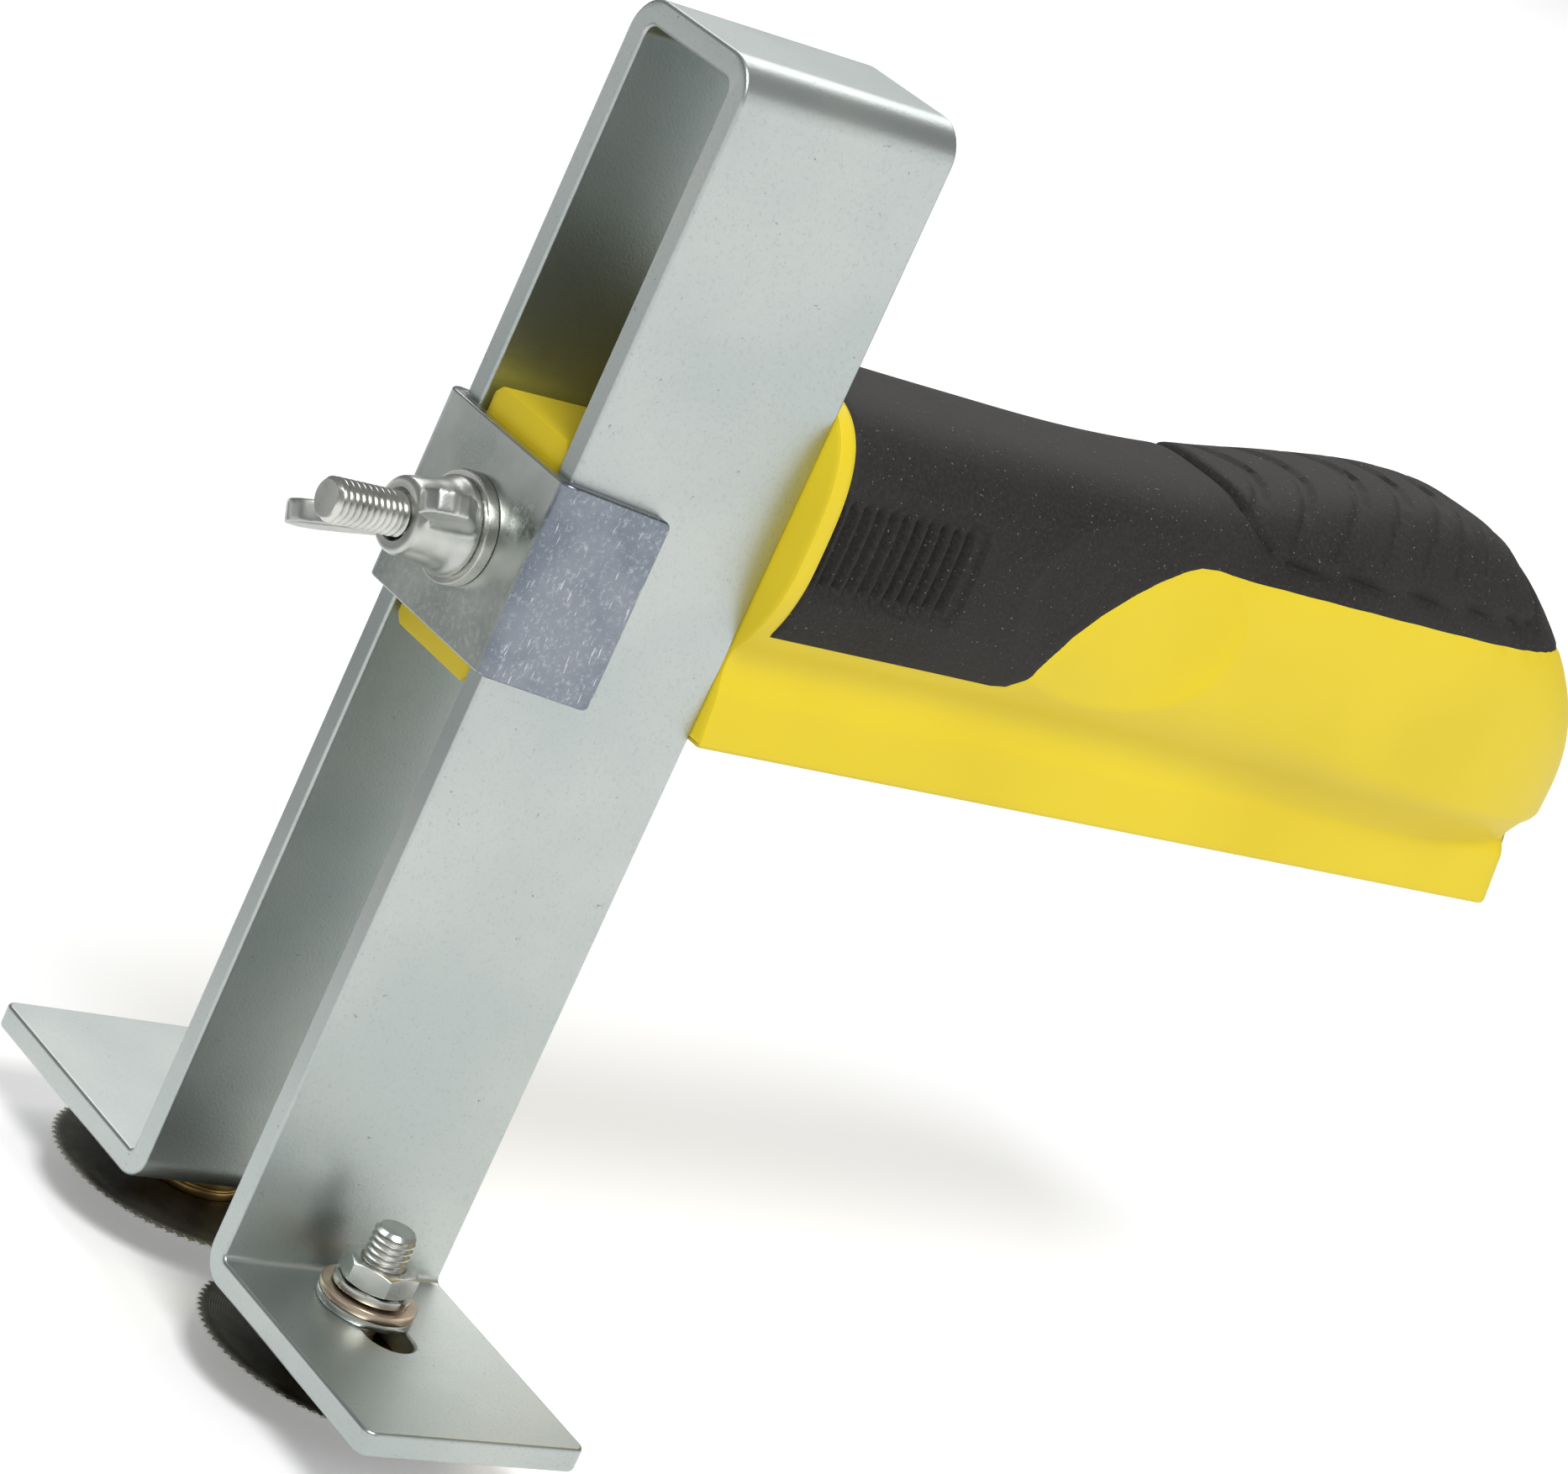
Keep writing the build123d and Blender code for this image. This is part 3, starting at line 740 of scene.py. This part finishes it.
def top_points(shape):
    """Points from the middle of the top down to the widest line, on a squarish curve."""
    widest, half, rise, _ = shape
    points = []
    for k in range(upper_steps):
        angle = math.pi / 2 * (1 - k / upper_steps)
        c, s = math.cos(angle), math.sin(angle)
        reach = ((c / half) ** grip_squareness + (s / rise) ** grip_squareness) ** (-1 / grip_squareness)
        points.append((reach * c if k else 0.0, widest + reach * s))
    return points


def heel_points(d, shape):
    """Points under the grip behind the rail, with the fillet that runs down to the rail's end."""
    widest, half, _, drop = shape
    count = low_steps + edge_steps + fence_steps
    hang = rounding(heel_fillet - d + rail_length, heel_fillet)
    square = 1 - 0.5 * hang / heel_fillet
    points = []
    for k in range(count + 1):
        angle = math.radians(30 + 60 * k / count)
        width = half * 0.866 ** (1 - square) * math.cos(angle) ** square if k < count else 0.0
        points.append((width, widest - drop * math.sin(angle) - hang * (k / count) ** 2))
    return points


def rail_points(d, shoulder, shape):
    """Points from the shoulder down the rail, round its edge and in to the middle of the fence."""
    fence = rounding(d - rail_length + heel_round, heel_round)
    edge = fence + fence_edge
    points = []
    for k in range(low_steps):
        height = shoulder + (edge - shoulder) * k / low_steps
        points.append((side_width(d, height, shape), height))
    side = side_width(d, edge, shape) - fence_edge
    for k in range(edge_steps):
        angle = math.pi / 2 * k / edge_steps
        points.append((side + fence_edge * math.cos(angle), fence + fence_edge * (1 - math.sin(angle))))
    return points + [(side * (1 - k / fence_steps), fence) for k in range(fence_steps + 1)]


def half_section(d):
    """(half width, height) points of one station, from the middle of the top to the middle of the fence."""
    shape = grip_shape(d)
    widest, drop = shape[0], shape[3]
    shoulder = widest - drop / 2
    points = top_points(shape)
    for k in range(side_steps):
        height = widest + (shoulder - widest) * k / side_steps
        points.append((side_width(d, height, shape), height))
    if d > rail_length:
        return points + heel_points(d, shape)
    return points + rail_points(d, shoulder, shape)


def gap_to_edge(d, height):
    """Distance from the rubber's lower edge, seen from the side."""
    best = 9.0
    for (x0, y0), (x1, y1) in zip(rubber_edge, rubber_edge[1:]):
        if x0 - 2 < d < x1 + 2:
            run, rise = x1 - x0, y1 - y0
            t = min(max(((d - x0) * run + (height - y0) * rise) / (run * run + rise * rise), 0.0), 1.0)
            best = min(best, math.hypot(d - x0 - t * run, height - y0 - t * rise))
    return best


def parting_line(d, height):
    """A fine groove where the rubber meets the yellow moulding."""
    edge = gap_to_edge(d, height) if d > collar_end else 9.0
    if height > rubber_edge[0][1]:
        edge = min(edge, abs(d - collar_end))
    return -parting_depth * math.exp(-(edge / parting_width) ** 2)


def thumb_ribs(d, height):
    """The sunk pad with upright ribs on each side."""
    side = abs(height - rib_middle) - rib_half_height
    back = d - rib_end
    depth = rib_corner - math.hypot(max(side, 0.0), max(back, 0.0)) - min(max(side, back), 0.0)
    if d <= collar_end or depth <= 0:
        return 0.0
    wave = (0.5 - 0.5 * math.cos(2 * math.pi * (d - rib_start) / rib_pitch)) ** 1.3
    ends = smooth_step((depth - 0.7) / 0.7) * smooth_step((rib_end + 0.85 - d) / 0.6)
    return -0.55 * smooth_step(depth / 0.4) - 1.05 * wave * ends


def thumb_scoop(d, height):
    """A shallow hollow with a crisp rim, across rubber and moulding."""
    reach = ((d - scoop_distance) / scoop_long) ** 2 + ((height - scoop_height) / scoop_short) ** 2
    return -scoop_depth * (1 - reach) ** 0.65 if reach < 1 else 0.0


def palm_pad(d, y, height):
    """The raised pad on top, with a groove round it and sunk crescent bands across it."""
    inset = min(0.8 * (d - line_at(pad_front, height)), height - pad_low,
                0.8 * (line_at(pad_rear, height) - d))
    if inset <= -2:
        return 0.0
    out = pad_rise * smooth_step(inset / 0.5) - pad_groove * math.exp(-((inset + 0.1) / 0.62) ** 2)
    if inset > 0.9:
        for start, bend in crescents:
            half = 1.25 * math.sqrt(max(0.0, 1 - (y / 13.2) ** 2))
            out -= 0.45 * smooth_step((half - abs(d - start + bend * y * y)) / 0.35)
    return out


def relief(d, y, height):
    """How far the details stand out of the smooth handle."""
    out = parting_line(d, height) + palm_pad(d, y, height) - rounding(fence_edge - d, fence_edge)
    if abs(y) > 6:
        out += thumb_ribs(d, height) + thumb_scoop(d, height)
    return out


def handle_stations():
    """Distances of the sections, closest where the details are."""
    last = core_high.x - handle_front
    spans = ((0, collar_end, 9), (collar_end, 26, 98), (26, 112, 176), (112, rail_length - rail_corner, 42),
             (rail_length - rail_corner, rail_length, 12), (rail_length + 0.02, last - 3, 18),
             (last - 3, last, 16))
    return [a + (b - a) * k / count for a, b, count in spans for k in range(count)] + [last]


def cut_along_rubber_edge(bm):
    """Puts real edges along the rubber's lower edge, one straight stretch at a time."""
    for (x0, z0), (x1, z1) in zip(rubber_edge, rubber_edge[1:]):
        start = Vector((handle_front + x0, 0, fence_z + z0))
        run = Vector((x1 - x0, 0, z1 - z0))
        normal = Vector((-run.z, 0, run.x)).normalized()
        along = run.normalized()
        near = [f for f in bm.faces if any(-0.8 < (v.co - start).dot(along) < run.length + 0.8
                                           and abs((v.co - start).dot(normal)) < 1.6 for v in f.verts)]
        geom = near + list({e for f in near for e in f.edges}) + list({v for f in near for v in f.verts})
        bmesh.ops.bisect_plane(bm, geom=geom, dist=0.01, plane_co=start, plane_no=normal)


def make_skin():
    """The handle's whole surface, each point remembering where the bed under the rubber lies."""
    stations = handle_stations()
    around = 2 * (upper_steps + side_steps + low_steps + edge_steps + fence_steps)
    origin = Vector((handle_front, 0, fence_z))
    rows = []
    for d in stations:
        half = half_section(d)
        rows.append([Vector((d, -w, z)) for w, z in half] + [Vector((d, w, z)) for w, z in half[-2::-1]])
    bm = bmesh.new()
    bmesh.ops.create_grid(bm, x_segments=len(stations) - 1, y_segments=around, size=1)
    bed = bm.verts.layers.float_vector.new("bed")
    for vert in bm.verts:
        i = round((vert.co.x + 1) / 2 * (len(stations) - 1))
        j = round((vert.co.y + 1) / 2 * around)
        point = rows[i][j]
        back, ahead = rows[max(i - 1, 0)][j], rows[min(i + 1, len(rows) - 1)][j]
        before, after = rows[i][(j - 1) % around], rows[i][(j + 1) % around]
        normal = (ahead - back).cross(after - before).normalized()
        if normal.dot(Vector((0, point.y, point.z - 15))) < 0:
            normal = -normal
        vert.co = origin + point + normal * relief(*point)
        vert[bed] = origin + point - normal * sleeve_thickness
    bmesh.ops.remove_doubles(bm, verts=bm.verts, dist=0.0005)
    for d in (stations[0], stations[-1]):
        x = handle_front + d
        rim = [e for e in bm.edges if e.is_boundary and all(abs(v.co.x - x) < 0.5 for v in e.verts)]
        bmesh.ops.holes_fill(bm, edges=rim)
    cut_along_rubber_edge(bm)
    return bm


def under_rubber(face):
    centre = face.calc_center_median()
    d = centre.x - handle_front
    return d > collar_end and centre.z - fence_z > line_at(rubber_edge, d)


def with_bed(skin, keep_rubber, gap):
    """The rubber as a closed skin, or the moulding under it with the rubber's bed sunk in."""
    bm = skin.copy()
    bed = bm.verts.layers.float_vector["bed"]
    covered = [f for f in bm.faces if under_rubber(f)]
    inside = set(covered)
    uncovered = [f for f in bm.faces if f not in inside]
    rim = [e for e in bm.edges if len([f for f in e.link_faces if f in inside]) == 1]
    copied = bmesh.ops.duplicate(bm, geom=covered)["vert_map"]
    for vert in {v for f in covered for v in f.verts}:
        copied[vert].co = vert[bed] + (vert[bed] - vert.co).normalized() * gap
    for edge in rim:
        a, b = edge.verts
        bm.faces.new([a, b, copied[b], copied[a]])
    bmesh.ops.delete(bm, geom=uncovered if keep_rubber else covered, context="FACES")
    bmesh.ops.recalc_face_normals(bm, faces=bm.faces)
    return bm


def make_tongue():
    """The block between the legs that carries the stud, its long edges chamfered."""
    half, height, chamfer = 7.8, 29, 1
    right = [(half - chamfer, 0), (half, chamfer), (half, height - chamfer), (half - chamfer, height)]
    outline = right + [(-y, z) for y, z in reversed(right)]
    length = handle_front + 2 - core_low.x
    block = extruded([(core_low.x, y, fence_z + z) for y, z in outline], (length, 0, 0))
    return soften(block, 0.25, 2)


def make_handle(yellow, rubber):
    skin = make_skin()
    sleeve = with_bed(skin, True, 0.0)
    core = with_bed(skin, False, bed_gap)
    skin.free()
    add_shell(core, make_tongue())
    finish_piece("handle_moulding", core, yellow, "handle", "yellow_plastic", "handle_core", even=False)
    finish_piece("soft_sleeve", sleeve, rubber, "handle", "black_rubber", "grip_overmould", even=False)


# ================= Camera, lights, floor =================
def area_light(name, place, aim, size, power, colour=(1, 1, 1)):
    data = bpy.data.lights.new(name, "AREA")
    data.shape = "RECTANGLE"
    data.size, data.size_y = size[0] * MM, size[1] * MM
    data.energy = power
    data.color = colour
    light = bpy.data.objects.new(name, data)
    light.location = Vector(place) * MM
    light.rotation_euler = (Vector(aim) - Vector(place)).to_track_quat("-Z", "Y").to_euler()
    bpy.context.scene.collection.objects.link(light)


def make_studio():
    camera = bpy.data.objects.new("camera", bpy.data.cameras.new("camera"))
    camera.location = Vector(camera_place) * MM
    camera.rotation_euler = Euler([math.radians(a) for a in camera_turn])
    camera.data.lens = camera_lens
    camera.data.shift_x, camera.data.shift_y = camera_shift
    camera.data.clip_start, camera.data.clip_end = 0.01, 100
    bpy.context.scene.collection.objects.link(camera)
    bpy.context.scene.camera = camera
    bpy.context.scene.view_settings.view_transform = "Standard"

    bm = bmesh.new()
    bmesh.ops.create_grid(bm, x_segments=1, y_segments=1, size=floor_size / 2 * MM)
    mesh = bpy.data.meshes.new("floor")
    bm.to_mesh(mesh)
    bm.free()
    floor = bpy.data.objects.new("floor", mesh)
    floor.location.z = cad_bounds[0].z - floor_gap * MM
    paint = Paint("floor")
    from_painted_shade = paint.node("ShaderNodeVectorMath", {"operation": "DISTANCE"}, paint.place, painted_shade_middle,
                            out="Value")
    light = from_painted_shade.above(painted_shade_inner, painted_shade_outer)
    # Painted shade on the floor: inside the patch the base colour is dark grey and the glow is weaker, so
    # the steel reflects shade there. Elsewhere the floor is pale and glows evenly.
    mesh.materials.append(paint.set(Base_Color=paint.mix(light, (0.22, 0.23, 0.23), (0.8, 0.8, 0.8)),
                                    Emission_Color=paint.mix(light, (0.15, 0.15, 0.15), (1, 1, 1)),
                                    Roughness=0.9, Emission_Strength=0.26))
    bpy.context.scene.collection.objects.link(floor)

    world = bpy.data.worlds.new("studio")
    world.use_nodes = True
    background = world.node_tree.nodes["Background"]
    background.inputs["Color"].default_value = (world_grey, world_grey, world_grey, 1)
    background.inputs["Strength"].default_value = 1.0
    bpy.context.scene.world = world
    aim = (30, 0, 75)  # the middle of the cutter
    area_light("key", (-600, -1150, 1900), aim, (900, 900), 43)
    area_light("side", (650, -600, 260), aim, (500, 400), 0.7)
    area_light("backdrop", (900, 1200, 1400), (900, 1250, 0), (1500, 1500), 22)


def make_all():
    paints = {
        "zinc_plated_bar": zinc_bar_paint(),
        "zinc_plated_sheet": zinc_sheet_paint(),
        "plated_fastener": metal_paint("plated_fastener", (0.52, 0.53, 0.50), (0.66, 0.66, 0.62), 0.20),
        "plated_casting": metal_paint("plated_casting", (0.44, 0.46, 0.44), (0.58, 0.59, 0.56), 0.24),
        "yellow_zinc_washer": metal_paint("yellow_zinc_washer", (0.62, 0.47, 0.36), (0.72, 0.60, 0.46),
                                          0.24),
        "turned_brass": metal_paint("turned_brass", (0.44, 0.29, 0.10), (0.62, 0.43, 0.18), 0.24),
        "yellow_plastic": yellow_paint(),
        "black_rubber": rubber_paint(),
    }
    make_bar(paints["zinc_plated_bar"])
    make_bracket(paints["zinc_plated_sheet"])
    make_clamp_fasteners(paints)
    make_wing_nut(paints["plated_casting"])
    make_handle(paints["yellow_plastic"], paints["black_rubber"])
    for name, side in (("right", -1), ("left", 1)):
        make_wheel(name, side, wheel_paint(f"{name}_wheel_steel", side * wheel_y, 17.25))
        make_wheel_stack(name, side, paints)


make_all()
make_studio()
